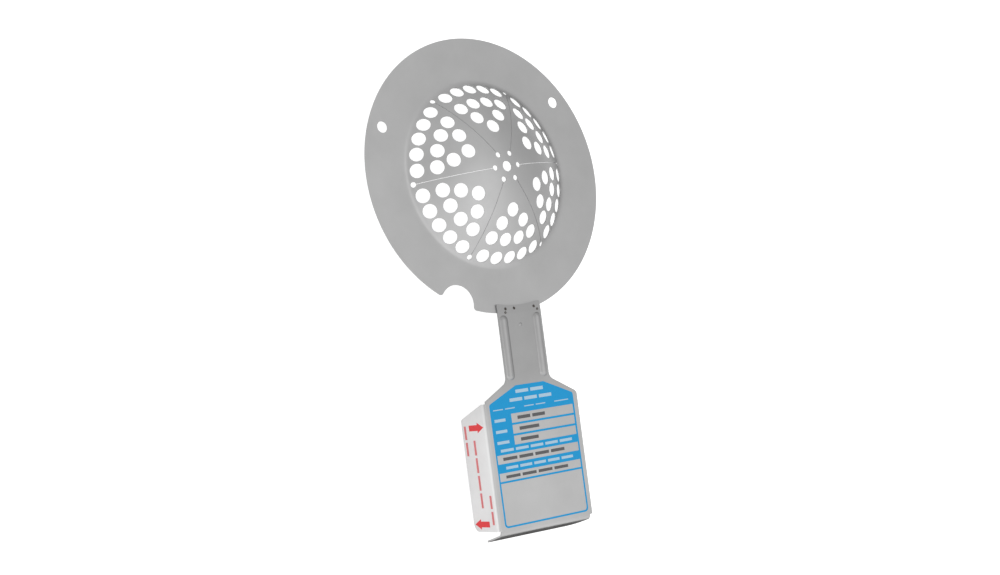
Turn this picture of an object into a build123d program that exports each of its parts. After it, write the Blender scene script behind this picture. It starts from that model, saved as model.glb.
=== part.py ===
from build123d import *
from math import asin, cos, degrees, hypot, radians, sin, sqrt
import os

# 3 inch rupture disc on its identification tag, in millimetres.
# Origin: centre of the flange's flat back face. +Z through the crown of the dome, tag towards -Y.

# --- disc sheet: flange and dome -------------------------------------------------
flange_r = 68.25          # 5-3/8 inch, inside the bolts of a 3 inch class 150 flange
disc_t = 0.5
dome_sphere_r = 67.8      # outside of the dome
dome_rise = 17.6          # crown above the flange's front face
shoulder_r = 4.0          # blend between dome and flange

# --- perforation: six equal sectors between six radial slits ---------------------
sectors = 6
hole_r = 3.5
pilot_r = 1.32            # small holes that end the slits
centre_hole_r = 2.58
slit_w = 0.25
pilot_in = 6.92           # radius of the inner pilot holes, measured in plan
pilot_out = 44.25
row_1 = (42.05, 10.86, (-2, -1, 0, 1, 2))     # plan radius, angle step, places
row_2 = (34.05, 6.85, (-3, -1, 1, 3))
row_3 = (26.9, 13.92, (-1, 1))
row_4 = (20.7, 0.0, (0,))

# --- flange punchings ------------------------------------------------------------
ear_hole_r = 2.75
ear_hole_at = 60.5
ear_hole_angles = (31.1, 151.1)
notch_angle = 240.0
notch_r = 9.3
notch_corner_r = 1.6

# --- seal film under the dome ----------------------------------------------------
film_t = 0.25
film_gap = 0.05

# --- tag, one folded sheet -------------------------------------------------------
tag_t = 0.8
tag_lap_r = 65.0          # the top end is cut to this radius and laps the flange
tag_skew = -4.8           # the tag sits a little askew on the disc
tag_shift = -0.15
tag_pivot = 66.0          # distance from the disc's axis to the middle of the lap, where the tag turns
tag_bend = 3.7            # leans back below the flange
tag_bend_r = 8.0
tag_hinge = 68.6          # distance from the disc's axis to the start of the bend
neck_w = 26.1
face_w = 57.3
shoulder_top = 101.0       # distances down the tag from the disc's axis
shoulder_end = 109.7
face_end = 172.9
fold_r = 1.0              # inside radius of the side fold
flap_fold_r = 1.8         # inside radius of the bottom fold
neck_fillet = 4.0
side_depth = 19.6         # side panel, from the tag's front face
side_top_drop = 6.5
side_end = 170.0
flap_depth = 14.3
flap_fold = 77.0
flap_side_gap = 1.4
bead_w = 4.8
bead_h = 1.3
bead_offset = 10.1
bead_top = 71.4           # centres of the bead's round ends
bead_end = 97.9
bump_r = 1.0
bump_rise = 0.5
bump_at = (-0.4, 74.1)    # across, and down from the disc's axis
weld_r = 1.1              # spherical pits left by the spot welds
weld_pit = 0.3
weld_inset = 1.5          # from the lap's cut end
weld_places = (-8.0, -2.8, 9.2)
shoulder_corner = 2.5
side_corner_low = 4.0
side_corner_top = 1.5
flap_corner_left = 2.0
flap_corner_right = 6.0
lap_corner = 0.9

outer_fold = fold_r + tag_t
flap_outer = flap_fold_r + tag_t
bead_crest_r = (bead_w ** 2 / 4 + bead_h ** 2) / (2 * bead_h)


def dome_profile(top: float, thickness: float, rim: float) -> Sketch:
    """Half section of a dished sheet whose upper surface lies `top` below the disc's."""
    centre_z = disc_t + dome_rise - dome_sphere_r
    blend_z = disc_t + shoulder_r
    blend_x = sqrt((dome_sphere_r + shoulder_r) ** 2 - (blend_z - centre_z) ** 2)
    reach = hypot(blend_x, blend_z - centre_z)
    ux, uz = blend_x / reach, (blend_z - centre_z) / reach
    half = degrees(asin(ux)) / 2

    def dome_arc(radius: float):
        crown = (0, centre_z + radius)
        middle = (radius * sin(radians(half)), centre_z + radius * cos(radians(half)))
        foot = (radius * ux, centre_z + radius * uz)
        return ThreePointArc(crown, middle, foot)

    def blend_arc(radius: float):
        start = (blend_x - radius * ux, blend_z - radius * uz)
        middle = (blend_x - radius * sin(radians(half)), blend_z - radius * cos(radians(half)))
        return ThreePointArc(start, middle, (blend_x, blend_z - radius))

    upper = dome_sphere_r - top
    lower = upper - thickness
    z_up = disc_t - top
    z_low = z_up - thickness
    blend_up = shoulder_r + top
    blend_low = blend_up + thickness
    with BuildSketch(Plane.XZ) as section:
        with BuildLine():
            add(dome_arc(upper))
            add(blend_arc(blend_up))
            Polyline((blend_x, z_up), (rim, z_up), (rim, z_low), (blend_x, z_low))
            add(blend_arc(blend_low))
            add(dome_arc(lower))
            Line((0, centre_z + lower), (0, centre_z + upper))
        make_face()
    return section.sketch


def dome_punch(radius: float, angle: float, hole: float) -> Part:
    """Round cutter square to the dome at a plan radius and angle."""
    lean = degrees(asin(radius / dome_sphere_r))
    centre_z = disc_t + dome_rise - dome_sphere_r
    along = Pos(0, 0, centre_z) * Rot(0, 0, angle) * Rot(0, lean, 0)
    return along * Pos(0, 0, dome_sphere_r) * Cylinder(hole, 8 * disc_t)


def dome_punches() -> list:
    """Cutters for the centre hole, the pilot holes, the slits and the four rows per sector."""
    punches = [dome_punch(0, 0, centre_hole_r)]
    for sector in range(sectors):
        slit_angle = sector * 360 / sectors
        slit = Box(pilot_out - pilot_in, slit_w, 2 * dome_rise)
        punches.append(Rot(0, 0, slit_angle) * Pos((pilot_out + pilot_in) / 2, 0, dome_rise) * slit)
        for radius in (pilot_in, pilot_out):
            punches.append(dome_punch(radius, slit_angle, pilot_r))
        middle = slit_angle + 180 / sectors
        for radius, step, places in (row_1, row_2, row_3, row_4):
            for place in places:
                punches.append(dome_punch(radius, middle + place * step, hole_r))
    return punches


def notch_cutter() -> Part:
    """Round notch on the flange's edge, with the corners where it breaks out eased."""
    edge = Circle(flange_r) - Pos(flange_r, 0) * Circle(notch_r)
    corners = edge.vertices().filter_by(lambda v: v.Y != 0 and v.X > flange_r - notch_r)
    eased = fillet(corners, notch_corner_r)
    blank = Pos(flange_r, 0) * Rectangle(3 * notch_r, 3 * notch_r)
    return Rot(0, 0, notch_angle) * Pos(0, 0, -1) * extrude(blank - eased, disc_t + 2)


def disc() -> Part:
    """Flange and dome, pressed from one perforated and slit sheet."""
    sheet = revolve(dome_profile(0, disc_t, flange_r), Axis.Z)
    cutters = dome_punches()
    cutters.append(notch_cutter())
    for angle in ear_hole_angles:
        cutters.append(Rot(0, 0, angle) * Pos(ear_hole_at, 0, 0) * Cylinder(ear_hole_r, 4))
    return sheet - cutters


def seal_film() -> Part:
    """Clear film that closes the holes from the concave side."""
    film = revolve(dome_profile(disc_t + film_gap, film_t, flange_r), Axis.Z)
    return film & Pos(0, 0, dome_rise / 2) * Box(2 * flange_r, 2 * flange_r, dome_rise)


def tag_outline() -> Sketch:
    """Flat part of the tag below its bend: neck, shoulders and face. Y is 0 at the bend."""
    down = [d - tag_hinge for d in (shoulder_top, shoulder_end, face_end - flap_outer)]
    left = -face_w / 2 + outer_fold
    slope = (shoulder_end - shoulder_top) / (face_w - neck_w) * 2
    with BuildSketch() as plan:
        with BuildLine():
            Polyline(
                (-neck_w / 2, 0),
                (-neck_w / 2, -down[0]),
                (left, -down[1] + outer_fold * slope),
                (left, -down[2]),
                (face_w / 2, -down[2]),
                (face_w / 2, -down[1]),
                (neck_w / 2, -down[0]),
                (neck_w / 2, 0),
                close=True,
            )
        make_face()
        inner = plan.vertices().filter_by(lambda v: abs(v.Y + down[0]) < 0.01)
        fillet(inner, neck_fillet)
        outer = plan.vertices().filter_by(lambda v: v.X > left + 1 and abs(v.Y + down[1]) < 0.01)
        fillet(outer, shoulder_corner)
    return plan.sketch


def bead(side: int, radius: float) -> Part:
    """Round-ended roller lying down the neck, proud of the sheet by the bead's height."""
    length = bead_end - bead_top
    roller = Rot(90, 0, 0) * Cylinder(radius, length)
    ends = Pos(0, length / 2) * Sphere(radius) + Pos(0, -length / 2) * Sphere(radius)
    middle = (bead_top + bead_end) / 2 - tag_hinge
    return Pos(side * bead_offset, -middle, tag_t + bead_h - bead_crest_r) * (roller + ends)


def side_panel() -> Part:
    """Left panel and the quarter-round fold that joins it to the face."""
    left = -face_w / 2
    top = -(shoulder_end - tag_hinge)
    end = -(side_end - tag_hinge)
    depth = side_depth - outer_fold
    with BuildSketch(Plane.YZ.offset(left)) as plan:
        with BuildLine():
            Polyline(
                (top, -fold_r),
                (top - side_top_drop, -fold_r - depth),
                (end, -fold_r - depth),
                (end, -fold_r),
                close=True,
            )
        make_face()
        outer = plan.vertices().filter_by(lambda v: v.Y < -depth)
        fillet(outer.sort_by(Axis.X)[0], side_corner_low)
        outer = plan.vertices().filter_by(lambda v: v.Y < -depth)
        fillet(outer.sort_by(Axis.X)[-1], side_corner_top)
    panel = extrude(plan.sketch, tag_t, dir=(1, 0, 0))
    corner = Pos(left + outer_fold, 0, -fold_r)
    ring = Circle(outer_fold) - Circle(fold_r)
    quarter = ring & Pos(-outer_fold / 2, outer_fold / 2) * Rectangle(outer_fold, outer_fold)
    fold = corner * Pos(0, top, 0) * Rot(90, 0, 0) * extrude(quarter, top - end)
    return panel + fold


def flap() -> Part:
    """Bottom flap and its fold."""
    left = -face_w / 2 + flap_side_gap
    width = face_w - 2 * flap_side_gap
    end = -(face_end - flap_outer - tag_hinge)
    section = Pos(left + width / 2, end, tag_t / 2) * Rot(90, 0, 0) * Rectangle(width, tag_t)
    hinge = Axis((0, end, -flap_fold_r), (1, 0, 0))
    fold = revolve(section, hinge, flap_fold)
    tip = fold.faces().sort_by(Axis.Z)[0]
    plate = extrude(tip, flap_depth - flap_outer)
    for corner, place in ((flap_corner_left, 0), (flap_corner_right, 1)):
        short = plate.edges().filter_by(lambda e: abs(e.length - tag_t) < 0.01)
        plate = fillet(short.sort_by(Axis.Z)[0:2].sort_by(Axis.X)[place], corner)
    return fold + plate


def lap() -> Part:
    """Flat top end of the tag, cut to an arc and spot-welded on the flange. Y is 0 at the bend."""
    reach = tag_hinge - tag_lap_r
    plan = Pos(0, reach) * Rectangle(neck_w, 2 * reach) & Rectangle(neck_w, 4 * reach)
    plan = plan - Pos(0, tag_hinge) * Circle(tag_lap_r)
    top_corners = plan.vertices().sort_by(Axis.Y)[-2:]
    sheet = extrude(fillet(top_corners, lap_corner), tag_t)
    for across in weld_places:
        pit = Pos(across, reach - weld_inset, tag_t - weld_pit + weld_r) * Sphere(weld_r)
        sheet = sheet - pit
    return sheet


def tag() -> Part:
    """Identification tag: lap, bend, beaded neck, face, side panel and bottom flap."""
    body = extrude(tag_outline(), tag_t)
    span = 2 * face_end
    above = Pos(0, 0, span / 2) * Box(span, span, span)
    for side in (-1, 1):
        body = body + (bead(side, bead_crest_r) & above)
    for side in (-1, 1):
        body = body - bead(side, bead_crest_r - tag_t)
    bump = Pos(bump_at[0], tag_hinge - bump_at[1], tag_t + bump_rise - bump_r) * Sphere(bump_r)
    body = body + (bump & above) + side_panel() + flap()

    end_face = Pos(0, 0, tag_t / 2) * Rot(90, 0, 0) * Rectangle(neck_w, tag_t)
    hinge = Axis((0, 0, -tag_bend_r), (1, 0, 0))
    knee = revolve(end_face, hinge, -tag_bend)
    lean = Pos(0, 0, -tag_bend_r) * Rot(tag_bend, 0, 0) * Pos(0, 0, tag_bend_r)
    whole = lap() + lean * knee + lean * body
    seat = Pos(tag_shift, -tag_pivot, disc_t) * Rot(0, 0, tag_skew)
    return seat * Pos(0, tag_pivot - tag_hinge, 0) * whole


def main() -> None:
    """Write each piece as its own STEP file."""
    os.makedirs("parts", exist_ok=True)
    export_step(disc(), "parts/perforated_disc.step")
    export_step(seal_film(), "parts/seal_film.step")
    export_step(tag(), "parts/id_tag.step")


main()
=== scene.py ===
"""Dressed model of a 3 inch rupture disc on its folded identification tag."""

import logging
from collections.abc import Callable
from dataclasses import dataclass, field
from enum import Enum
from math import asin, atan2, ceil, cos, pi, radians, sin, sqrt

import bpy
import numpy as np
from mathutils import Matrix, Vector
from mathutils.geometry import delaunay_2d_cdt

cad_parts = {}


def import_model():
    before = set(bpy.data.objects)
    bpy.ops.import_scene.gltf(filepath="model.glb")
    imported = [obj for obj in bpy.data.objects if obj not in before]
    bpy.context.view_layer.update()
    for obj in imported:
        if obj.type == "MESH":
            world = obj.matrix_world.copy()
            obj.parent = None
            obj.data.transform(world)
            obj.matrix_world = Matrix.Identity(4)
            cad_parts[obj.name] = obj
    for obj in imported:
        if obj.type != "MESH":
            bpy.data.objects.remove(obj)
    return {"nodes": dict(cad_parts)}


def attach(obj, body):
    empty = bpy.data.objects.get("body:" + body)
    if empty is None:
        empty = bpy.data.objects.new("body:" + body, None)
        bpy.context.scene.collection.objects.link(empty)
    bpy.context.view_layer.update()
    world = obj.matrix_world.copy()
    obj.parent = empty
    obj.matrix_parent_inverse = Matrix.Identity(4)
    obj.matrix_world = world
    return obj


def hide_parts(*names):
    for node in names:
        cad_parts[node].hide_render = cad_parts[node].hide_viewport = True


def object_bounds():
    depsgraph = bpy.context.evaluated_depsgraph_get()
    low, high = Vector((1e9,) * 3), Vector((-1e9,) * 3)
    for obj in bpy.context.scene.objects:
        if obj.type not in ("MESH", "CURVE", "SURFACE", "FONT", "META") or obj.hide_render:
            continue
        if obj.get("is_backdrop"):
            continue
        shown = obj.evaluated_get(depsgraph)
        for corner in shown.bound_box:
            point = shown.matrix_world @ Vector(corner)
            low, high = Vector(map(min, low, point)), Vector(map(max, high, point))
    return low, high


LOG = logging.getLogger("rupture_disc")
MM = 0.001
BODY = "root"
MERGE_GAP = 1e-7            # millimetres between points that the triangulation joins
LEAST_TURN = 1e-9           # twice the smallest triangle area that is kept
SHARP_EDGE = radians(38)    # edges of cut sheets steeper than this stay sharp
FLOOR_GAP = 0.0002          # metres from the part's lowest point to the floor


class Ink(Enum):
    """Colours of the print on the tag, as linear colour."""

    BLUE = (0.008, 0.310, 0.640)
    RED = (0.860, 0.062, 0.070)
    ROSE = (0.800, 0.230, 0.240)
    WHITE = (0.420, 0.590, 0.720)
    BLACK = (0.110, 0.110, 0.115)


# ------------------------------------------------------------------ finishes

class NodeSheet:
    """Small helper that places and links the nodes of one tree."""

    def __init__(self, tree: bpy.types.NodeTree) -> None:
        """Keep the tree and clear it.

        Args:
            tree: The node tree to fill.
        """
        self.tree = tree
        tree.nodes.clear()

    def add(self, kind: str, **values: object) -> bpy.types.Node:
        """Add one node and set its sockets by name.

        Args:
            kind: Blender's identifier of the node type.
            **values: Attribute values, or socket defaults written as in_NAME or in_NUMBER.

        Returns:
            The new node.
        """
        node = self.tree.nodes.new(kind)
        for name, value in values.items():
            if not name.startswith("in_"):
                setattr(node, name, value)
                continue
            socket = name[3:].replace("_", " ")
            node.inputs[int(socket) if socket.isdigit() else socket].default_value = value
        return node

    def ramp(self, low: tuple, high: tuple, stops: tuple[float, float] = (0.0, 1.0)) -> bpy.types.Node:
        """Add a colour ramp with two stops.

        Args:
            low: Red, green and blue of the first stop.
            high: Red, green and blue of the second stop.
            stops: Places of the two stops.

        Returns:
            The ramp's node.
        """
        node = self.tree.nodes.new("ShaderNodeValToRGB")
        for element, place, colour in zip(node.color_ramp.elements, stops, (low, high)):
            element.position = place
            element.color = (*colour, 1.0)
        return node

    def remap(self, before: tuple, after: tuple = (0.0, 1.0), smooth: bool = True) -> bpy.types.Node:
        """Add a node that carries one range of values to another.

        Args:
            before: First and last incoming value.
            after: What they become.
            smooth: True for an eased change, False for a straight one.

        Returns:
            The new node.
        """
        node = self.add("ShaderNodeMapRange", interpolation_type="SMOOTHSTEP" if smooth else "LINEAR")
        for name, value in zip(("From Min", "From Max", "To Min", "To Max"), (*before, *after)):
            node.inputs[name].default_value = value
        return node

    def link(self, source: bpy.types.Node, out: object, target: bpy.types.Node, socket: object) -> None:
        """Link an output to an input, each named or numbered."""
        self.tree.links.new(source.outputs[out], target.inputs[socket])


def new_material(name: str) -> tuple[bpy.types.Material, NodeSheet]:
    """Make an empty node material.

    Args:
        name: Name of the material.

    Returns:
        The material and the helper on its tree.
    """
    material = bpy.data.materials.new(name)
    material.use_nodes = True
    return material, NodeSheet(material.node_tree)


@dataclass(frozen=True)
class RolledSteel:
    """Satin stainless sheet: rolling grain along X, faint clouding and handling marks."""

    name: str
    tone: float
    warm: float = 0.0
    roughness: float = 0.36
    grain: float = 0.05
    tone_spread: tuple = (0.95, 1.04)
    cloud_stops: tuple = (0.32, 0.68)
    roughness_spread: tuple = (-0.05, 0.08)

    def shade(self, sheet: NodeSheet, place: bpy.types.Node, tone: bpy.types.Node) -> bpy.types.Node:
        """Plain steel keeps its tone all over."""
        return tone

    def build(self) -> bpy.types.Material:
        """Build the material.

        Returns:
            A metal whose colour, roughness and bump follow Object coordinates.
        """
        material, sheet = new_material(self.name)
        out = sheet.add("ShaderNodeOutputMaterial")
        steel = sheet.add("ShaderNodeBsdfPrincipled", in_Metallic=1.0)
        place = sheet.add("ShaderNodeTexCoord")
        stretch = sheet.add("ShaderNodeMapping", in_Scale=(60.0, 2600.0, 600.0))
        grain = sheet.add("ShaderNodeTexNoise", in_Scale=1.0, in_Detail=3.0, in_Roughness=0.6)
        cloud = sheet.add("ShaderNodeTexNoise", in_Scale=38.0, in_Detail=4.0, in_Roughness=0.55)
        scuff = sheet.add("ShaderNodeTexNoise", in_Scale=260.0, in_Detail=2.0)
        sheet.link(place, "Object", stretch, "Vector")
        sheet.link(stretch, "Vector", grain, "Vector")
        sheet.link(place, "Object", cloud, "Vector")
        sheet.link(place, "Object", scuff, "Vector")
        low, high = [
            (self.tone * share + self.warm, self.tone * share, self.tone * share - self.warm)
            for share in self.tone_spread
        ]
        tone = sheet.ramp(low, high, self.cloud_stops)
        sheet.link(cloud, "Fac", tone, "Fac")
        sheet.link(self.shade(sheet, place, tone), 0, steel, "Base Color")
        spread = tuple(self.roughness + change for change in self.roughness_spread)
        rough = sheet.remap((0.0, 1.0), spread, smooth=False)
        sheet.link(scuff, "Fac", rough, "Value")
        sheet.link(rough, "Result", steel, "Roughness")
        bump = sheet.add("ShaderNodeBump", in_Strength=self.grain, in_Distance=0.0001)
        sheet.link(grain, "Fac", bump, "Height")
        sheet.link(bump, "Normal", steel, "Normal")
        sheet.link(steel, "BSDF", out, "Surface")
        return material


@dataclass(frozen=True)
class TagSteelPaintedLight(RolledSteel):
    """Sheet of the tag with painted light and shade: darker on the neck, brighter on the face and brightest
    on the side panel.
    """

    # Painted light and shade: the tone is scaled darker on the neck, lighter on the face and lightest on the
    # side panel, where the light falls.
    neck: float = 0.80
    face: float = 1.06
    side: float = 1.62
    neck_y: float = -0.092
    face_y: float = -0.125
    side_x: float = -0.0276
    side_blend: float = 0.0009
    skew: float = 4.8
    pivot: tuple = (-0.00015, -0.066, 0.0)

    def shade(self, sheet: NodeSheet, place: bpy.types.Node, tone: bpy.types.Node) -> bpy.types.Node:
        """Paint light and shade by place: scale the tone along the neck and face, and more on the side panel.

        Args:
            sheet: The material's tree.
            place: Its Texture Coordinate node.
            tone: The node that gives the plain tone.

        Returns:
            The node whose first output is the shaded colour.
        """
        turn = radians(self.skew)
        back = Matrix.Rotation(turn, 3, "Z") @ -Vector(self.pivot)
        align = sheet.add("ShaderNodeMapping", in_Rotation=(0.0, 0.0, turn))
        align.inputs["Location"].default_value = back + Vector((0.0, self.pivot[1], 0.0))
        split = sheet.add("ShaderNodeSeparateXYZ")
        along = sheet.remap((self.neck_y, self.face_y), (self.neck, self.face))
        edge = (self.side_x, self.side_x - self.side_blend)
        across = sheet.remap(edge, (1.0, self.side / self.face), smooth=False)
        both = sheet.add("ShaderNodeMath", operation="MULTIPLY")
        mixed = sheet.add("ShaderNodeVectorMath", operation="SCALE")
        sheet.link(place, "Object", align, "Vector")
        sheet.link(align, "Vector", split, "Vector")
        sheet.link(split, "Y", along, "Value")
        sheet.link(split, "X", across, "Value")
        sheet.link(along, "Result", both, 0)
        sheet.link(across, "Result", both, 1)
        sheet.link(tone, "Color", mixed, 0)
        sheet.link(both, 0, mixed, "Scale")
        return mixed


@dataclass(frozen=True)
class ClearFilm:
    """Thin clear fluoropolymer with a faint milky sheen."""

    name: str = "clear_film"
    alpha: float = 0.045

    def build(self) -> bpy.types.Material:
        """Build the film's material.

        Returns:
            A see-through plastic with faint milky clouding.
        """
        material, sheet = new_material(self.name)
        out = sheet.add("ShaderNodeOutputMaterial")
        film = sheet.add("ShaderNodeBsdfPrincipled", in_Roughness=0.22, in_IOR=1.35, in_Alpha=self.alpha)
        place = sheet.add("ShaderNodeTexCoord")
        haze = sheet.add("ShaderNodeTexNoise", in_Scale=45.0, in_Detail=3.0)
        milk = sheet.ramp((0.86, 0.88, 0.90), (0.97, 0.97, 0.97))
        sheet.link(place, "Object", haze, "Vector")
        sheet.link(haze, "Fac", milk, "Fac")
        sheet.link(milk, "Color", film, "Base Color")
        sheet.link(film, "BSDF", out, "Surface")
        return material


@dataclass(frozen=True)
class ScreenInk:
    """Screen-printed enamel: slightly uneven coat with a soft gloss."""

    ink: Ink
    thin: float = 0.93
    thick: float = 1.05

    def build(self) -> bpy.types.Material:
        """Build the ink's material.

        Returns:
            An enamel whose colour varies a little with the coat.
        """
        material, sheet = new_material(f"ink_{self.ink.name.lower()}")
        out = sheet.add("ShaderNodeOutputMaterial")
        coat = sheet.add("ShaderNodeBsdfPrincipled", in_Roughness=0.5, in_Specular_IOR_Level=0.25)
        place = sheet.add("ShaderNodeTexCoord")
        noise = sheet.add("ShaderNodeTexNoise", in_Scale=900.0, in_Detail=3.0)
        low = tuple(self.thin * c for c in self.ink.value)
        high = tuple(min(self.thick * c, 1.0) for c in self.ink.value)
        ramp = sheet.ramp(low, high)
        sheet.link(place, "Object", noise, "Vector")
        sheet.link(noise, "Fac", ramp, "Fac")
        sheet.link(ramp, "Color", coat, "Base Color")
        bump = sheet.add("ShaderNodeBump", in_Strength=0.08, in_Distance=0.00005)
        sheet.link(noise, "Fac", bump, "Height")
        sheet.link(bump, "Normal", coat, "Normal")
        sheet.link(coat, "BSDF", out, "Surface")
        return material


@dataclass(frozen=True)
class PaleFloor:
    """White studio floor that reads as white background, keeps a soft shadow and has a painted shadow under
    the tag.
    """

    paint: float = 0.62
    seen_glow: float = 0.80
    mirrored_glow: float = 0.38
    # Painted shadow: a dark ellipse on the floor under the tag's bottom fold, seen only in reflections and
    # bounced light.
    shade_at: tuple = (0.012, -0.176, 0.0)
    shade_reach: tuple = (0.044, 0.034, 1.0)
    shade_edge: tuple = (0.85, 1.25)

    def build(self) -> bpy.types.Material:
        """Build the floor's material.

        Returns:
            A pale paint that glows to the camera and in reflections, with a painted shadow: a dark patch
            under the tag that shows only in reflections and bounced light.
        """
        material, sheet = new_material("pale_floor")
        out = sheet.add("ShaderNodeOutputMaterial")
        paint = sheet.add("ShaderNodeBsdfDiffuse", in_Color=(self.paint, self.paint, self.paint, 1.0))
        glow = sheet.add("ShaderNodeEmission")
        both = sheet.add("ShaderNodeAddShader")
        ray = sheet.add("ShaderNodeLightPath")
        seen = sheet.add("ShaderNodeMath", operation="MULTIPLY", in_1=self.seen_glow)
        bounced = sheet.add("ShaderNodeMath", operation="MAXIMUM")
        mirrored = sheet.add("ShaderNodeMath", operation="MULTIPLY", in_1=self.mirrored_glow)
        total = sheet.add("ShaderNodeMath", operation="ADD")
        sheet.link(ray, "Is Camera Ray", seen, 0)
        sheet.link(ray, "Is Glossy Ray", bounced, 0)
        sheet.link(ray, "Is Transmission Ray", bounced, 1)
        sheet.link(bounced, 0, mirrored, 0)
        sheet.link(seen, 0, total, 0)
        sheet.link(mirrored, 0, total, 1)
        sheet.link(total, 0, glow, "Strength")
        place = sheet.add("ShaderNodeTexCoord")
        away = sheet.add("ShaderNodeVectorMath", operation="SUBTRACT", in_1=self.shade_at)
        scaled = sheet.add("ShaderNodeVectorMath", operation="DIVIDE", in_1=self.shade_reach)
        flat = sheet.add("ShaderNodeVectorMath", operation="MULTIPLY", in_1=(1.0, 1.0, 0.0))
        reach = sheet.add("ShaderNodeVectorMath", operation="LENGTH")
        outside_painted_shadow = sheet.remap(self.shade_edge)
        sheet.link(place, "Object", away, 0)
        sheet.link(away, "Vector", scaled, 0)
        sheet.link(scaled, "Vector", flat, 0)
        sheet.link(flat, "Vector", reach, 0)
        sheet.link(reach, "Value", outside_painted_shadow, "Value")
        # Painted shadow: near-black paint inside the ellipse, kept from camera rays.
        painted_shadow_mix = sheet.add("ShaderNodeMixShader")
        gap = sheet.add("ShaderNodeBsdfDiffuse", in_Color=(0.03, 0.03, 0.03, 1.0))
        camera_or_lit = sheet.add("ShaderNodeMath", operation="MAXIMUM")
        sheet.link(outside_painted_shadow, "Result", camera_or_lit, 0)
        sheet.link(ray, "Is Camera Ray", camera_or_lit, 1)
        sheet.link(camera_or_lit, 0, painted_shadow_mix, "Fac")
        sheet.link(gap, "BSDF", painted_shadow_mix, 1)
        sheet.link(both, 0, painted_shadow_mix, 2)
        sheet.link(paint, "BSDF", both, 0)
        sheet.link(glow, "Emission", both, 1)
        sheet.link(painted_shadow_mix, 0, out, "Surface")
        return material


# ------------------------------------------------------------------ mesh making

Loop = np.ndarray


def arc(centre: tuple[float, float], radius: float, start: float, stop: float, steps: int) -> Loop:
    """Points along a circular arc.

    Args:
        centre: Centre of the arc.
        radius: Radius of the arc.
        start: First angle in radians.
        stop: Last angle in radians.
        steps: Number of chords.

    Returns:
        An array of steps + 1 points.
    """
    turn = np.linspace(start, stop, steps + 1)
    return np.stack([centre[0] + radius * np.cos(turn), centre[1] + radius * np.sin(turn)], axis=1)


def spin(points: Loop, angle: float) -> Loop:
    """Turn plan points about the origin by an angle in degrees."""
    c, s = cos(radians(angle)), sin(radians(angle))
    return points @ np.array([[c, s], [-s, c]])


def rounded(corners: list[tuple[float, float]], radii: list[float], steps: int = 6) -> Loop:
    """Polygon with rounded corners.

    Args:
        corners: Corner points in order.
        radii: Corner radius at each corner, 0 for sharp.
        steps: Chords in each rounding.

    Returns:
        The closed outline's points.
    """
    points = [np.array(c, float) for c in corners]
    loop = []
    for i, corner in enumerate(points):
        if radii[i] <= 0:
            loop.append(corner)
            continue
        before = points[i - 1] - corner
        after = points[(i + 1) % len(points)] - corner
        before /= np.linalg.norm(before)
        after /= np.linalg.norm(after)
        half = np.arccos(np.clip(before @ after, -1, 1)) / 2
        middle = corner + (before + after) / np.linalg.norm(before + after) * radii[i] / sin(half)
        first = corner + before * radii[i] / np.tan(half)
        last = corner + after * radii[i] / np.tan(half)
        a0 = atan2(*(first - middle)[::-1])
        a1 = atan2(*(last - middle)[::-1])
        a1 = a0 + (a1 - a0 + pi) % (2 * pi) - pi
        loop.extend(arc(tuple(middle), radii[i], a0, a1, steps))
    return np.array(loop)


def inside(points: np.ndarray, loop: Loop) -> np.ndarray:
    """Even-odd test of many points against one closed loop.

    Args:
        points: Points to test.
        loop: Closed outline.

    Returns:
        A boolean for each point.
    """
    hit = np.zeros(len(points), bool)
    near = np.all((points > loop.min(0)) & (points < loop.max(0)), axis=1)
    some = points[near]
    state = np.zeros(len(some), bool)
    for a, b in zip(loop, np.roll(loop, -1, axis=0)):
        crosses = (a[1] > some[:, 1]) != (b[1] > some[:, 1])
        if not crosses.any():
            continue
        at = a[0] + (some[:, 1] - a[1]) * (b[0] - a[0]) / (b[1] - a[1] + 1e-30)
        state ^= crosses & (some[:, 0] < at)
    hit[near] = state
    return hit


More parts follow.
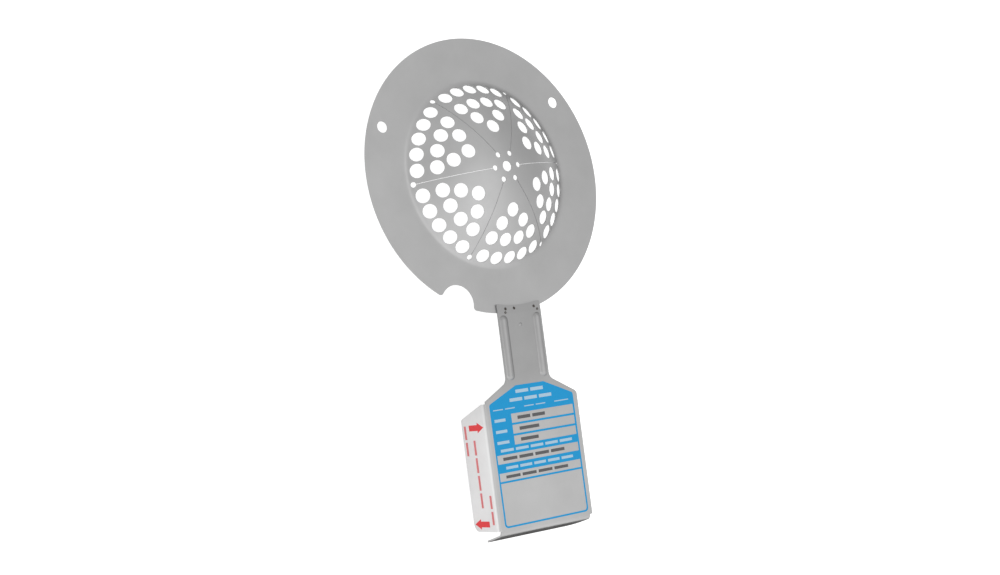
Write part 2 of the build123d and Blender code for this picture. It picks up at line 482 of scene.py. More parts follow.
@dataclass
class Sheet:
    """Flat stock cut to one outline with openings, ready to be laid on a surface.

    The plan is in millimetres. Each plan point is later lifted to the upper and the lower face.
    """

    outline: Loop
    openings: list[Loop] = field(default_factory=list)
    stock: Loop = field(default_factory=lambda: np.zeros((0, 2)))

    def cut(self) -> tuple[np.ndarray, list[tuple[int, int, int]]]:
        """Triangulate the plan between the outline and the openings.

        Returns:
            The plan points and the triangles, anticlockwise seen from above.
        """
        points: list[Vector] = []
        edges: list[tuple[int, int]] = []
        for loop in [self.outline, *self.openings]:
            start = len(points)
            points.extend(Vector(p) for p in loop)
            edges.extend((start + i, start + (i + 1) % len(loop)) for i in range(len(loop)))
        points.extend(Vector(p) for p in self.stock)
        made = delaunay_2d_cdt(points, edges, [], 0, MERGE_GAP)
        plan = np.array([tuple(p) for p in made[0]])
        tris = np.array([tuple(f) for f in made[2]])
        a, b, c = plan[tris[:, 0]], plan[tris[:, 1]], plan[tris[:, 2]]
        turn = (b - a)[:, 0] * (c - a)[:, 1] - (b - a)[:, 1] * (c - a)[:, 0]
        tris[turn < 0] = tris[turn < 0][:, ::-1]
        middle = (a + b + c) / 3
        keep = inside(middle, self.outline) & (np.abs(turn) > LEAST_TURN)
        for loop in self.openings:
            keep &= ~inside(middle, loop)
        return plan, [tuple(int(i) for i in t) for t in tris[keep]]

    def solid(self, name: str, lift: Callable[[np.ndarray, int], np.ndarray]) -> bpy.types.Object:
        """Build the closed sheet.

        Args:
            name: Name of the object.
            lift: Function of plan points and 0 (upper) or 1 (lower face) that gives millimetres.

        Returns:
            The object, with its place in its mesh.
        """
        plan, tris = self.cut()
        count = len(plan)
        places = np.concatenate([lift(plan, 0), lift(plan, 1)]) * MM
        faces = list(tris) + [(c + count, b + count, a + count) for a, b, c in tris]
        edges = dict.fromkeys((tri[i], tri[(i + 1) % 3]) for tri in tris for i in range(3))
        faces += [(b, a, a + count, b + count) for a, b in edges if (b, a) not in edges]
        used = sorted({i for f in faces for i in f})
        index = {old: new for new, old in enumerate(used)}
        mesh = bpy.data.meshes.new(name)
        mesh.from_pydata(places[used].tolist(), [], [tuple(index[i] for i in f) for f in faces])
        mesh.shade_smooth()
        mesh.set_sharp_from_angle(angle=SHARP_EDGE)
        return stand(name, mesh)


def stand(name: str, data: bpy.types.ID) -> bpy.types.Object:
    """Make an object at the origin and put it in the scene.

    Args:
        name: Name of the object.
        data: Its mesh, lamp or camera.

    Returns:
        The new object.
    """
    thing = bpy.data.objects.new(name, data)
    bpy.context.collection.objects.link(thing)
    return thing


def finish_piece(piece: bpy.types.Object, material: bpy.types.Material) -> None:
    """Give a piece its material and slot, and make it ride on the part.

    Args:
        piece: The finished piece.
        material: Its material.
    """
    piece.data.materials.clear()
    piece.data.materials.append(material)
    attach(piece, BODY)
    LOG.info("%s: %d faces", piece.name, len(piece.data.polygons))


def bake(piece: bpy.types.Object, name: str) -> bpy.types.Object:
    """Turn an object's evaluated result into a plain mesh object.

    Args:
        piece: Object with a live modifier; it is removed.
        name: Name of the new object.

    Returns:
        The new object without modifiers.
    """
    bpy.context.view_layer.update()
    graph = bpy.context.evaluated_depsgraph_get()
    mesh = bpy.data.meshes.new_from_object(piece.evaluated_get(graph))
    mesh.name = name
    piece.modifiers.clear()
    bpy.data.objects.remove(piece)
    return stand(name, mesh)


def join(parts: list[bpy.types.Object], name: str) -> bpy.types.Object:
    """Join several plain objects into one.

    Args:
        parts: Objects at the origin; they are removed.
        name: Name of the new object.

    Returns:
        The object with all their faces.
    """
    points: list = []
    faces: list = []
    for part in parts:
        start = len(points)
        points.extend(tuple(v.co) for v in part.data.vertices)
        faces.extend(tuple(start + i for i in f.vertices) for f in part.data.polygons)
        bpy.data.objects.remove(part)
    mesh = bpy.data.meshes.new(name)
    mesh.from_pydata(points, [], faces)
    return stand(name, mesh)


# ------------------------------------------------------------------ perforated disc

@dataclass
class PerforatedDisc:
    """Flange and dome pressed from one sheet. Sizes in millimetres, as in the solid."""

    flange_r: float = 68.25
    thickness: float = 0.5
    sphere_r: float = 67.8
    rise: float = 17.6
    shoulder_r: float = 4.0
    hole_r: float = 3.5
    pilot_r: float = 1.32
    centre_r: float = 2.58
    slit_w: float = 0.25
    pilot_in: float = 6.92
    pilot_out: float = 44.25
    sectors: int = 6
    rows: tuple = (
        (42.05, 10.86, (-2, -1, 0, 1, 2)),
        (34.05, 6.85, (-3, -1, 1, 3)),
        (26.9, 13.92, (-1, 1)),
        (20.7, 0.0, (0,)),
    )
    ear_hole_r: float = 2.75
    ear_hole_at: float = 60.5
    ear_hole_angles: tuple = (31.1, 151.1)
    notch_angle: float = 240.0
    notch_r: float = 9.3
    notch_corner_r: float = 1.6
    fine_step: float = 1.25
    coarse_step: float = 3.0
    first_ring: float = 1.0
    blend_rings: int = 9
    ring_turn: float = 0.37
    edge_gap: float = 0.42

    def __post_init__(self) -> None:
        """Work out the dome's centre and the blend's centre."""
        self.centre_z = self.thickness + self.rise - self.sphere_r
        self.blend_z = self.thickness + self.shoulder_r
        reach = self.sphere_r + self.shoulder_r
        self.blend_x = sqrt(reach ** 2 - (self.blend_z - self.centre_z) ** 2)
        self.foot_r = self.sphere_r * self.blend_x / reach

    def lift(self, plan: np.ndarray, side: int) -> np.ndarray:
        """Lay plan points on the pressed sheet.

        Args:
            plan: Plan points.
            side: 0 for the upper face, 1 for the lower.

        Returns:
            Points in space, in millimetres.
        """
        radius = np.hypot(plan[:, 0], plan[:, 1])
        safe = np.maximum(radius, 1e-9)
        out = plan / safe[:, None]
        height = np.full(len(plan), self.thickness)
        lean = np.zeros(len(plan))
        dome = radius < self.foot_r
        height[dome] = self.centre_z + np.sqrt(self.sphere_r ** 2 - radius[dome] ** 2)
        lean[dome] = radius[dome] / self.sphere_r
        blend = (radius >= self.foot_r) & (radius < self.blend_x)
        across = self.blend_x - radius[blend]
        height[blend] = self.blend_z - np.sqrt(self.shoulder_r ** 2 - across ** 2)
        lean[blend] = across / self.shoulder_r
        depth = self.thickness * side
        spread = plan - out * (lean * depth)[:, None]
        drop = height - depth * np.sqrt(1 - lean ** 2)
        return np.column_stack([spread, drop])

    def hole(self, radius: float, angle: float, size: float, steps: int = 44) -> Loop:
        """Outline in plan of a round hole punched square to the dome.

        Args:
            radius: Plan radius of the hole's centre.
            angle: Its angle in degrees.
            size: The hole's radius.
            steps: Points on the outline.

        Returns:
            The closed outline.
        """
        lean = asin(radius / self.sphere_r)
        spread = asin(size / self.sphere_r)
        turn = np.arange(steps) * 2 * pi / steps
        along = self.sphere_r * (cos(spread) * sin(lean) + sin(spread) * np.cos(turn) * cos(lean))
        across = self.sphere_r * sin(spread) * np.sin(turn)
        return spin(np.stack([along, across], axis=1), angle)

    def slit(self, angle: float) -> Loop:
        """Slit with its two round ends.

        Args:
            angle: Direction of the slit in degrees.

        Returns:
            Its closed outline in plan.
        """
        half = self.slit_w / 2
        gap = asin(half / self.pilot_r)
        squash = sqrt(1 - (self.pilot_out / self.sphere_r) ** 2)
        far = arc((0, 0), self.pilot_r, -pi + gap, pi - gap, 20) * (squash, 1) + (self.pilot_out, 0)
        near = arc((self.pilot_in, 0), self.pilot_r, gap, 2 * pi - gap, 20)
        run = np.linspace(self.pilot_out - self.pilot_r - 1, self.pilot_in + self.pilot_r + 1, 34)
        upper = np.stack([run, np.full(len(run), half)], axis=1)
        lower = np.stack([run[::-1], np.full(len(run), -half)], axis=1)
        return spin(np.concatenate([far, upper, near, lower]), angle)

    def rim(self) -> Loop:
        """Flange's outline with the eased notch.

        Returns:
            The closed outline in plan.
        """
        c, n, f = self.notch_corner_r, self.notch_r, self.flange_r
        x = ((f - c) ** 2 - (n + c) ** 2 + f ** 2) / (2 * f)
        y = sqrt((f - c) ** 2 - x ** 2)
        edge = atan2(y, x)
        bite = atan2(y, x - f)
        outer = arc((0, 0), f, edge, 2 * pi - edge, 260)
        ease_low = self.ease((x, -y), c, -edge, pi - bite)
        notch = arc((f, 0), n, 2 * pi - bite, bite, 48)
        ease_high = self.ease((x, y), c, bite - pi, edge)
        loop = np.concatenate([outer[:-1], ease_low, notch[1:-1], ease_high[:-1]])
        return spin(loop, self.notch_angle)

    @staticmethod
    def ease(centre: tuple[float, float], radius: float, start: float, stop: float) -> Loop:
        """Short arc the near way round between two angles."""
        stop = start + (stop - start + pi) % (2 * pi) - pi
        return arc(centre, radius, start, stop, 10)

    def sector_holes(self, sector: int) -> list[tuple[float, float]]:
        """Plan radius and angle in degrees of each large hole in one sector."""
        middle = (sector + 0.5) * 360 / self.sectors
        return [(radius, middle + place * step) for radius, step, places in self.rows for place in places]

    def openings(self) -> list[Loop]:
        """Every opening through the sheet.

        Returns:
            The closed outlines in plan.
        """
        loops = [self.hole(0.0, 0.0, self.centre_r, steps=36)]
        for sector in range(self.sectors):
            loops.append(self.slit(sector * 360 / self.sectors))
            loops.extend(self.hole(radius, angle, self.hole_r) for radius, angle in self.sector_holes(sector))
        for angle in self.ear_hole_angles:
            loops.append(spin(arc((self.ear_hole_at, 0), self.ear_hole_r, 0, 2 * pi, 48)[:-1], angle))
        return loops

    def stock(self, loops: list[Loop]) -> Loop:
        """Filling points in rings, finer on the blend, clear of every edge.

        Args:
            loops: Outlines that the points keep clear of.

        Returns:
            The points in plan.
        """
        inset = self.coarse_step / 2
        rings: list[float] = list(np.arange(self.first_ring, self.foot_r, self.fine_step))
        rings += list(np.linspace(self.foot_r, self.blend_x, self.blend_rings))
        rings += list(np.arange(self.blend_x + inset, self.flange_r - inset, self.coarse_step))
        points = []
        for i, ring in enumerate(rings):
            step = self.fine_step if ring < self.blend_x + 1 else self.coarse_step
            count = max(6, ceil(2 * pi * ring / step))
            start = i * self.ring_turn
            points.append(arc((0, 0), ring, start, start + 2 * pi, count)[:-1])
        cloud = np.concatenate(points)
        edge = np.concatenate(loops)
        keep = np.ones(len(cloud), bool)
        for block in np.array_split(np.arange(len(cloud)), 20):
            apart = cloud[block, None] - edge[None]
            gap = np.hypot(apart[..., 0], apart[..., 1])
            keep[block] = gap.min(axis=1) > self.edge_gap
        return cloud[keep]

    def build(self, steel: bpy.types.Material) -> bpy.types.Object:
        """Build the disc over its CAD node.

        Args:
            steel: The disc's material.

        Returns:
            The finished piece.
        """
        openings = self.openings()
        outline = self.rim()
        sheet = Sheet(outline, openings, self.stock([outline, *openings]))
        disc = sheet.solid("dressed_disc", self.lift)
        finish_piece(disc, steel)
        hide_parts("perforated_disc")
        return disc


@dataclass
class RingSpread:
    """Fine rings set on points, each square to its own axis, by a node tree."""

    name: str
    ring_r: float
    wire_r: float
    sides: int = 40

    def tree(self, finish: bpy.types.Material) -> tuple[bpy.types.NodeTree, dict[str, str]]:
        """Build the node tree that places one ring on each point.

        Args:
            finish: Material of the rings.

        Returns:
            The tree and its input identifiers by name.
        """
        group = bpy.data.node_groups.new(self.name, "GeometryNodeTree")
        face = group.interface
        names = {}
        face.new_socket("Points", in_out="INPUT", socket_type="NodeSocketGeometry")
        for label in ("Ring Radius", "Wire Radius"):
            socket = face.new_socket(label, in_out="INPUT", socket_type="NodeSocketFloat")
            names[label] = socket.identifier
        face.new_socket("Mesh", in_out="OUTPUT", socket_type="NodeSocketGeometry")
        sheet = NodeSheet(group)
        given = sheet.add("NodeGroupInput")
        result = sheet.add("NodeGroupOutput")
        ring = sheet.add("GeometryNodeCurvePrimitiveCircle", in_Resolution=self.sides)
        wire = sheet.add("GeometryNodeCurvePrimitiveCircle", in_Resolution=6)
        tube = sheet.add("GeometryNodeCurveToMesh")
        normal = sheet.add("GeometryNodeInputNamedAttribute", data_type="FLOAT_VECTOR", in_Name="square_to")
        turn = sheet.add("FunctionNodeAlignRotationToVector", axis="Z")
        spread = sheet.add("GeometryNodeInstanceOnPoints")
        real = sheet.add("GeometryNodeRealizeInstances")
        smooth = sheet.add("GeometryNodeSetShadeSmooth")
        dress = sheet.add("GeometryNodeSetMaterial", in_Material=finish)
        sheet.link(given, "Ring Radius", ring, "Radius")
        sheet.link(given, "Wire Radius", wire, "Radius")
        sheet.link(ring, "Curve", tube, "Curve")
        sheet.link(wire, "Curve", tube, "Profile Curve")
        sheet.link(given, "Points", spread, "Points")
        sheet.link(tube, "Mesh", spread, "Instance")
        sheet.link(normal, "Attribute", turn, "Vector")
        sheet.link(turn, "Rotation", spread, "Rotation")
        sheet.link(spread, "Instances", real, "Geometry")
        sheet.link(real, "Geometry", smooth, "Geometry")
        sheet.link(smooth, "Geometry", dress, "Geometry")
        sheet.link(dress, "Geometry", result, "Mesh")
        return group, names

    def build(self, centres: list, axes: list, finish: bpy.types.Material, slot: str) -> bpy.types.Object:
        """Set the rings and turn them into one plain mesh.

        Args:
            centres: Ring centres in millimetres.
            axes: The axis of each ring.
            finish: Material of the rings.
            slot: Not used.

        Returns:
            The finished piece.
        """
        mesh = bpy.data.meshes.new(self.name)
        mesh.from_pydata([tuple(Vector(c) * MM) for c in centres], [], [])
        layer = mesh.attributes.new("square_to", "FLOAT_VECTOR", "POINT")
        layer.data.foreach_set("vector", [v for axis in axes for v in axis])
        points = stand(self.name, mesh)
        group, names = self.tree(finish)
        modifier = points.modifiers.new(self.name, "NODES")
        modifier.node_group = group
        modifier[names["Ring Radius"]] = self.ring_r * MM
        modifier[names["Wire Radius"]] = self.wire_r * MM
        rings = bake(points, self.name)
        finish_piece(rings, finish)
        return rings


@dataclass
class PunchedLips:
    """Faint raised lip round each punched hole of the dome, sunk by a share of its own radius."""

    disc: PerforatedDisc
    wire_r: float = 0.07
    sink: float = 0.6

    def build(self, steel: bpy.types.Material) -> bpy.types.Object:
        """Build the lips just under the sheet's upper face.

        Args:
            steel: Material of the lips.

        Returns:
            The finished piece.
        """
        disc = self.disc
        centres, axes = [], []
        sunk = sqrt(disc.sphere_r ** 2 - disc.hole_r ** 2) - self.sink * self.wire_r
        for sector in range(disc.sectors):
            for radius, angle in disc.sector_holes(sector):
                lean = asin(radius / disc.sphere_r)
                turn = radians(angle)
                axis = Vector((sin(lean) * cos(turn), sin(lean) * sin(turn), cos(lean)))
                axes.append(axis)
                centres.append(Vector((0, 0, disc.centre_z)) + axis * sunk)
        return RingSpread("punched_lips", disc.hole_r, self.wire_r).build(centres, axes, steel, "disc_steel")


# ------------------------------------------------------------------ tag

@dataclass
class TagFrame:
    """Place of the folded tag on the disc. Across is X, and down is the distance from the disc."""

    base: float = 0.5
    skew: float = -4.8
    shift: float = -0.15
    bend: float = 3.7
    bend_r: float = 8.0
    pivot: float = 66.0
    hinge: float = 68.6
    thickness: float = 0.8
    half_width: float = 28.65

    def __post_init__(self) -> None:
        """Work out the matrix from the tag's own axes to the disc's, in millimetres."""
        lean = (
            Matrix.Translation((0, 0, -self.bend_r))
            @ Matrix.Rotation(radians(self.bend), 4, "X")
            @ Matrix.Translation((0, 0, self.bend_r))
        )
        seat = Matrix.Translation((self.shift, -self.pivot, self.base))
        turn = Matrix.Rotation(radians(self.skew), 4, "Z")
        flat = seat @ turn @ Matrix.Translation((0, self.pivot - self.hinge, 0))
        self.flat = np.array(flat)
        self.leaning = np.array(flat @ lean)

    def place(self, seat: np.ndarray, across: object, down: np.ndarray, up: object) -> np.ndarray:
        """Carry points from the tag's own axes to the disc's.

        Args:
            seat: Matrix to carry them with.
            across: Place or places across the tag.
            down: Places along the tag, negative away from the disc's axis.
            up: Height or heights above the tag's back.

        Returns:
            Points in space, in millimetres.
        """
        local = np.column_stack(np.broadcast_arrays(across, self.hinge + down, up))
        return local @ seat[:3, :3].T + seat[:3, 3]

    def on_face(self, plan: np.ndarray, proud: float) -> np.ndarray:
        """Points on the tag's front, `proud` above it."""
        return self.place(self.leaning, plan[:, 0], plan[:, 1], self.thickness + proud)

    def on_side(self, plan: np.ndarray, proud: float) -> np.ndarray:
        """Points on the side panel: plan X is the depth behind the front, plan Y runs down."""
        return self.place(self.leaning, -self.half_width - proud, plan[:, 1], self.thickness - plan[:, 0])

    def on_lap(self, plan: np.ndarray) -> np.ndarray:
        """Points on the front of the flat lap."""
        return self.place(self.flat, plan[:, 0], plan[:, 1], self.thickness)


@dataclass
class WeldMarks:
    """Small burnt rings where the spot welds hold the lap to the flange."""

    frame: TagFrame
    ring_r: float = 0.42
    wire_r: float = 0.22
    places: tuple = ((-8.0, -66.6), (-2.8, -66.6), (9.2, -66.6), (-8.4, -68.3), (11.0, -68.0))

    def build(self, burnt: bpy.types.Material) -> bpy.types.Object:
        """Build the marks on the lap's upper face.

        Args:
            burnt: Material of the heat-tinted metal.

        Returns:
            The finished piece.
        """
        centres = self.frame.on_lap(np.array(self.places))
        axes = [Vector((0, 0, 1))] * len(centres)
        rings = RingSpread("weld_marks", self.ring_r, self.wire_r, sides=18)
        return rings.build([tuple(c) for c in centres], axes, burnt, "tag_steel")


@dataclass
class TagPrint:
    """Coloured fields, windows, rules and arrows printed on the tag.

    Boxes are X and Y of two opposite corners: X across from the middle, Y down from the disc's axis.
    """

    frame: TagFrame
    coat: float = 0.03
    askew: float = 0.4
    left: float = -25.1
    right: float = 26.0
    top: float = -102.8
    shoulder: float = -110.3
    top_half: float = 8.5
    foot: float = -147.4
    windows: tuple = (
        (-13.0, -115.9, 25.0, -120.3),
        (-13.0, -121.3, 25.0, -125.5),
        (-13.0, -126.5, 25.0, -130.7),
        (-24.3, -134.6, 25.1, -138.8),
        (-24.3, -143.1, 25.1, -147.0),
    )
    margin: float = 0.5
    field_corner: float = 1.5
    box_foot: float = -168.9
    box_corner: float = 2.0
    box_inner_corner: float = 1.4
    box_seam: float = 0.02
    rule: float = 0.85
    white_bars: tuple = (
        (-8.6, -104.9, 9.4, -106.5),
        (-12.8, -108.7, 14.0, -110.3),
        (-23.2, -113.0, -9.0, -113.5),
        (-4.6, -113.0, 9.6, -113.5),
        (14.0, -113.0, 24.0, -113.5),
        (-23.2, -117.6, -15.4, -119.0),
        (-23.2, -122.9, -15.2, -124.3),
        (-23.2, -128.1, -14.8, -129.5),
        (-21.8, -132.0, 23.0, -133.3),
        (-20.0, -140.3, 22.2, -141.6),
    )
    dark_bars: tuple = (
        (-9.4, -117.3, 8.6, -118.9),
        (-9.0, -122.6, 4.2, -124.2),
        (-9.0, -127.8, 3.0, -129.4),
        (-21.0, -135.9, 17.6, -137.4),
        (-20.6, -144.4, 18.4, -145.8),
    )
    red_bars: tuple = (
        (9.7, -126.4, 11.3, -160.0),
        (16.2, -119.4, 17.8, -135.0),
        (2.5, -152.8, 4.1, -168.0),
    )
    dash: float = 8.0
    dash_gap: float = 1.3
    arrows: tuple = (("arrow_forward", 1.9, 13.7, -120.5), ("arrow_back", 18.4, 6.6, -166.4))
    head_length: float = 5.0
    head_half: float = 2.5
    shaft_half: float = 1.4

    def coat_solid(
        self, name: str, sheet: Sheet, side: bool = False, over: float = 0.0
    ) -> bpy.types.Object:
        """Lay one printed coat on the face or on the side panel.

        Args:
            name: Name of the piece.
            sheet: Its outline and openings.
            side: True for the side panel.
            over: Height of the coat's underside above the metal.

        Returns:
            The coat as a thin closed solid.
        """
        top = over + self.coat
        return sheet.solid(name, lambda plan, lower: self.lay(plan, side, over if lower else top))

    def lay(self, plan: np.ndarray, side: bool, proud: float) -> np.ndarray:
        """Place print on the side panel, or a little askew on the face, as it was screened.

        Args:
            plan: Plan points.
            side: True for the side panel.
            proud: Height above the metal.

        Returns:
            Points in space, in millimetres.
        """
        if side:
            return self.frame.on_side(plan, proud)
        hub = np.array([0.0, self.top])
        return self.frame.on_face(spin(plan - hub, self.askew) + hub, proud)

    @staticmethod
    def window(x0: float, y0: float, x1: float, y1: float) -> Loop:
        """Rectangle by its top-left and bottom-right corners."""
        return np.array([(x0, y1), (x1, y1), (x1, y0), (x0, y0)], float)

    def lines(self, name: str, bars: tuple, ink: bpy.types.Material, side: bool, over: float) -> None:
        """Print several lines of dashes as one piece.

        Args:
            name: Name of the piece.
            bars: The lines' boxes.
            ink: Material of the ink.
            side: True for the side panel, where lines run down.
            over: Height of the coat's underside above the metal.
        """
        parts = [
            self.coat_solid(name, Sheet(loop), side, over)
            for bar in bars
            for loop in self.dashes(bar, side)
        ]
        finish_piece(join(parts, name), ink)

    def blue_field(self) -> Sheet:
        """Blue field with a sloped top and bare windows.

        Returns:
            Its outline and windows.
        """
        middle = (self.left + self.right) / 2
        outline = rounded(
            [
                (self.left, self.foot - self.margin),
                (self.right, self.foot - self.margin),
                (self.right, self.shoulder),
                (middle + self.top_half, self.top),
                (middle - self.top_half, self.top),
                (self.left, self.shoulder),
            ],
            [0.0, 0.0] + [self.field_corner] * 4,
        )
        return Sheet(outline, [self.window(*w) for w in self.windows])

    def blue_box(self) -> Sheet:
        """Thin blue frame round the empty box below the field.

        Returns:
            Its outline and opening, which leaves a seam of a hair's width under the field.
        """
        r = self.rule
        low = self.box_foot
        top = self.foot - self.margin
        outer = rounded(
            [(self.left, low), (self.right, low), (self.right, top), (self.left, top)],
            [self.box_corner, self.box_corner, 0.0, 0.0],
        )
        inner = rounded(
            [
                (self.left + r, low + r),
                (self.right - r, low + r),
                (self.right - r, top - self.box_seam),
                (self.left + r, top - self.box_seam),
            ],
            [self.box_inner_corner, self.box_inner_corner, 0.0, 0.0],
        )
        return Sheet(outer, [inner])

    def dashes(self, bar: tuple, down: bool = False) -> list[Loop]:
        """Break a bar into short plain dashes, as generic lines of print.

        Args:
            bar: Its first and last corner.
            down: True where the line of print runs down the tag.

        Returns:
            One small rectangle for each dash.
        """
        x0, y0, x1, y1 = bar
        start, stop = (y0, y1) if down else (x0, x1)
        way = 1.0 if stop > start else -1.0
        count = max(1, round(abs(stop - start) / (self.dash + self.dash_gap)))
        pitch = (stop - start) / count
        loops = []
        for i in range(count):
            a = start + i * pitch
            b = a + pitch - way * self.dash_gap
            loops.append(self.window(x0, a, x1, b) if down else self.window(a, y0, b, y1))
        return loops

    def arrow(self, tip: float, tail: float, down: float) -> Loop:
        """Block arrow across the side panel.

        Args:
            tip: Depth of its tip behind the tag's front.
            tail: Depth of its tail.
            down: Place of its middle along the tag.

        Returns:
            Its closed outline.
        """
        way = 1.0 if tip > tail else -1.0
        head = tip - way * self.head_length
        outline = np.array(
            [
                (tip, down),
                (head, down + self.head_half),
                (head, down + self.shaft_half),
                (tail, down + self.shaft_half),
                (tail, down - self.shaft_half),
                (head, down - self.shaft_half),
                (head, down - self.head_half),
            ]
        )
        return outline[::-1] if way > 0 else outline

    def build(self, inks: dict[Ink, bpy.types.Material]) -> None:
        """Build every printed coat.

        Args:
            inks: Materials by ink.
        """
        finish_piece(self.coat_solid("print_field", self.blue_field()), inks[Ink.BLUE])
        finish_piece(self.coat_solid("print_box", self.blue_box()), inks[Ink.BLUE])
        for name, tip, tail, down in self.arrows:
            coat = self.coat_solid(name, Sheet(self.arrow(tip, tail, down)), side=True)
            finish_piece(coat, inks[Ink.RED])
        self.lines("print_headings", self.white_bars, inks[Ink.WHITE], side=False, over=self.coat)
        self.lines("print_entries", self.dark_bars, inks[Ink.BLACK], side=False, over=0.0)
        self.lines("print_side_notes", self.red_bars, inks[Ink.ROSE], side=True, over=0.0)


@dataclass
class SmoothFolds:
    """Node tree that joins a CAD node's loose triangles and shades its rounds smoothly."""

    limit: float = 32.0

    def tree(self) -> bpy.types.NodeTree:
        """Build the tree: merge, smooth faces, keep sharp edges.

        Returns:
            The tree.
        """
        group = bpy.data.node_groups.new("smooth_folds", "GeometryNodeTree")
        face = group.interface
        face.new_socket("Geometry", in_out="INPUT", socket_type="NodeSocketGeometry")
        limit = face.new_socket("Sharp Angle", in_out="INPUT", socket_type="NodeSocketFloat")
        limit.default_value = radians(self.limit)
        face.new_socket("Geometry", in_out="OUTPUT", socket_type="NodeSocketGeometry")
        sheet = NodeSheet(group)
        given = sheet.add("NodeGroupInput")
        result = sheet.add("NodeGroupOutput")
        merge = sheet.add("GeometryNodeMergeByDistance", in_Distance=0.000002)
        faces = sheet.add("GeometryNodeSetShadeSmooth", domain="FACE")
        edges = sheet.add("GeometryNodeSetShadeSmooth", domain="EDGE")
        angle = sheet.add("GeometryNodeInputMeshEdgeAngle")
        soft = sheet.add("FunctionNodeCompare", data_type="FLOAT", operation="LESS_THAN")
        sheet.link(given, 0, merge, "Geometry")
        sheet.link(merge, "Geometry", faces, "Geometry")
        sheet.link(faces, "Geometry", edges, "Geometry")
        sheet.link(angle, "Unsigned Angle", soft, 0)
        sheet.link(given, "Sharp Angle", soft, 1)
        sheet.link(soft, 0, edges, "Shade Smooth")
        sheet.link(edges, "Geometry", result, 0)
        return group

    def apply(self, node: bpy.types.Object) -> None:
        """Add the tree to a CAD node as a modifier.

        Args:
            node: The CAD node's object.
        """
        modifier = node.modifiers.new("smooth_folds", "NODES")
        modifier.node_group = self.tree()


# ------------------------------------------------------------------ studio

@dataclass(frozen=True)
class Lobe:
    """Smooth change of the surroundings' brightness about one direction.

    It runs from `outer` to `inner` as the cosine of the angle to that direction goes from
    `start` to `stop`.
    """

    towards: tuple
    start: float
    stop: float
    outer: float
    inner: float


@dataclass(frozen=True)
class Lamp:
    """Soft square lamp: where it stands, its side in metres and its power in watts."""

    name: str
    place: tuple
    size: float
    power: float


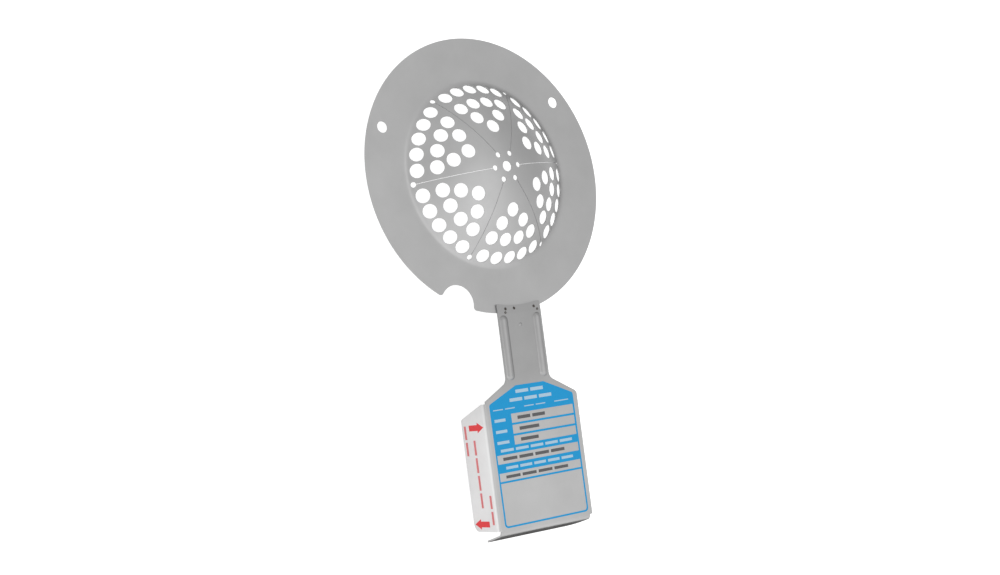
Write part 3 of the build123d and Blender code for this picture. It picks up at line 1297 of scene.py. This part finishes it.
@dataclass
class Studio:
    """Floor, lamps, surroundings and camera."""

    floor_z: float
    target: tuple = (-0.0078, -0.0552, 0.0005)
    distance: float = 0.7833
    azimuth: float = 184.32
    elevation: float = 52.83
    roll: float = 73.14
    lens: float = 58.65
    sensor: float = 36.0
    nearest: float = 0.01
    floor_half: float = 4.0
    ambient: float = 0.92
    lobes: tuple = (
        Lobe((-0.35, -0.85, 0.40), start=-1.0, stop=1.0, outer=-0.20, inner=0.20),
        Lobe((-0.50, 0.15, 0.85), start=0.80, stop=1.0, outer=0.0, inner=-0.27),
        Lobe((1.00, 0.00, 0.00), start=0.50, stop=0.72, outer=0.0, inner=-0.22),
    )
    lamps: tuple = (
        Lamp("overhead", (0.05, -0.15, 0.85), size=0.7, power=0.25),
        Lamp("side", (-0.9, -0.4, 0.35), size=0.5, power=0.5),
    )

    def floor(self) -> None:
        """Lay a large pale floor under the part."""
        half = self.floor_half
        mesh = bpy.data.meshes.new("floor")
        corners = [(-half, -half), (half, -half), (half, half), (-half, half)]
        mesh.from_pydata([(x, y, self.floor_z) for x, y in corners], [], [(0, 1, 2, 3)])
        floor = stand("floor", mesh)
        mesh.materials.append(PaleFloor().build())
        floor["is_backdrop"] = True

    def hang(self, lamp: Lamp) -> None:
        """Hang one lamp so that it looks at the part.

        Args:
            lamp: The lamp to hang.
        """
        light = bpy.data.lights.new(lamp.name, "AREA")
        light.shape = "SQUARE"
        light.size = lamp.size
        light.energy = lamp.power
        thing = stand(lamp.name, light)
        thing.location = lamp.place
        look = Vector(self.target) - Vector(lamp.place)
        thing.rotation_euler = look.to_track_quat("-Z", "Y").to_euler()

    def surroundings(self) -> None:
        """Soft surroundings: brighter low in front, darker behind and straight at the viewer."""
        world = bpy.data.worlds.new("studio")
        bpy.context.scene.world = world
        world.use_nodes = True
        sheet = NodeSheet(world.node_tree)
        out = sheet.add("ShaderNodeOutputWorld")
        light = sheet.add("ShaderNodeBackground", in_Strength=1.0)
        place = sheet.add("ShaderNodeTexCoord")
        total = sheet.add("ShaderNodeMath", operation="ADD", in_0=self.ambient, in_1=0.0)
        for lobe in self.lobes:
            towards = Vector(lobe.towards).normalized()
            aim = sheet.add("ShaderNodeVectorMath", operation="DOT_PRODUCT", in_1=towards)
            change = sheet.remap((lobe.start, lobe.stop), (lobe.outer, lobe.inner))
            added = sheet.add("ShaderNodeMath", operation="ADD")
            sheet.link(place, "Generated", aim, 0)
            sheet.link(aim, "Value", change, "Value")
            sheet.link(change, "Result", added, 0)
            sheet.link(total, 0, added, 1)
            total = added
        sheet.link(total, 0, light, "Color")
        sheet.link(light, "Background", out, "Surface")

    def camera(self) -> None:
        """Place the camera on its sphere round the target and roll it."""
        turn, rise = radians(self.azimuth), radians(self.elevation)
        back = Vector((cos(rise) * cos(turn), cos(rise) * sin(turn), sin(rise)))
        data = bpy.data.cameras.new("camera")
        data.lens = self.lens
        data.sensor_width = self.sensor
        data.clip_start = self.nearest
        camera = stand("camera", data)
        level = back.to_track_quat("Z", "Y").to_matrix().to_4x4()
        rolled = level @ Matrix.Rotation(radians(self.roll), 4, "Z")
        camera.matrix_world = Matrix.Translation(Vector(self.target) + back * self.distance) @ rolled
        bpy.context.scene.camera = camera

    def build(self) -> None:
        """Set up the whole studio."""
        self.floor()
        self.surroundings()
        for lamp in self.lamps:
            self.hang(lamp)
        self.camera()
        bpy.context.scene.view_settings.view_transform = "Standard"


def main() -> None:
    """Build and dress the rupture disc, then set the studio round it."""
    logging.basicConfig(level=logging.INFO, format="%(name)s: %(message)s")
    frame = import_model()
    cad_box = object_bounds()
    disc_steel = RolledSteel("disc_steel", tone=0.50).build()
    # The tag's steel carries painted light and shade by place.
    tag_steel = TagSteelPaintedLight("tag_steel", tone=0.50, grain=0.03).build()
    burnt_steel = RolledSteel("burnt_steel", tone=0.12, warm=0.012, roughness=0.5).build()
    inks = {ink: ScreenInk(ink).build() for ink in Ink}

    disc = PerforatedDisc()
    disc.build(disc_steel)
    PunchedLips(disc).build(disc_steel)

    film = frame["nodes"]["seal_film"]
    tag = frame["nodes"]["id_tag"]
    for node, material in ((film, ClearFilm().build()), (tag, tag_steel)):
        for slot in node.material_slots:
            slot.material = material
        SmoothFolds().apply(node)
        LOG.info("%s dressed with %s", node.name, material.name)

    WeldMarks(TagFrame()).build(burnt_steel)
    TagPrint(TagFrame()).build(inks)
    Studio(floor_z=cad_box[0][2] - FLOOR_GAP).build()


if __name__ == "__main__":
    main()
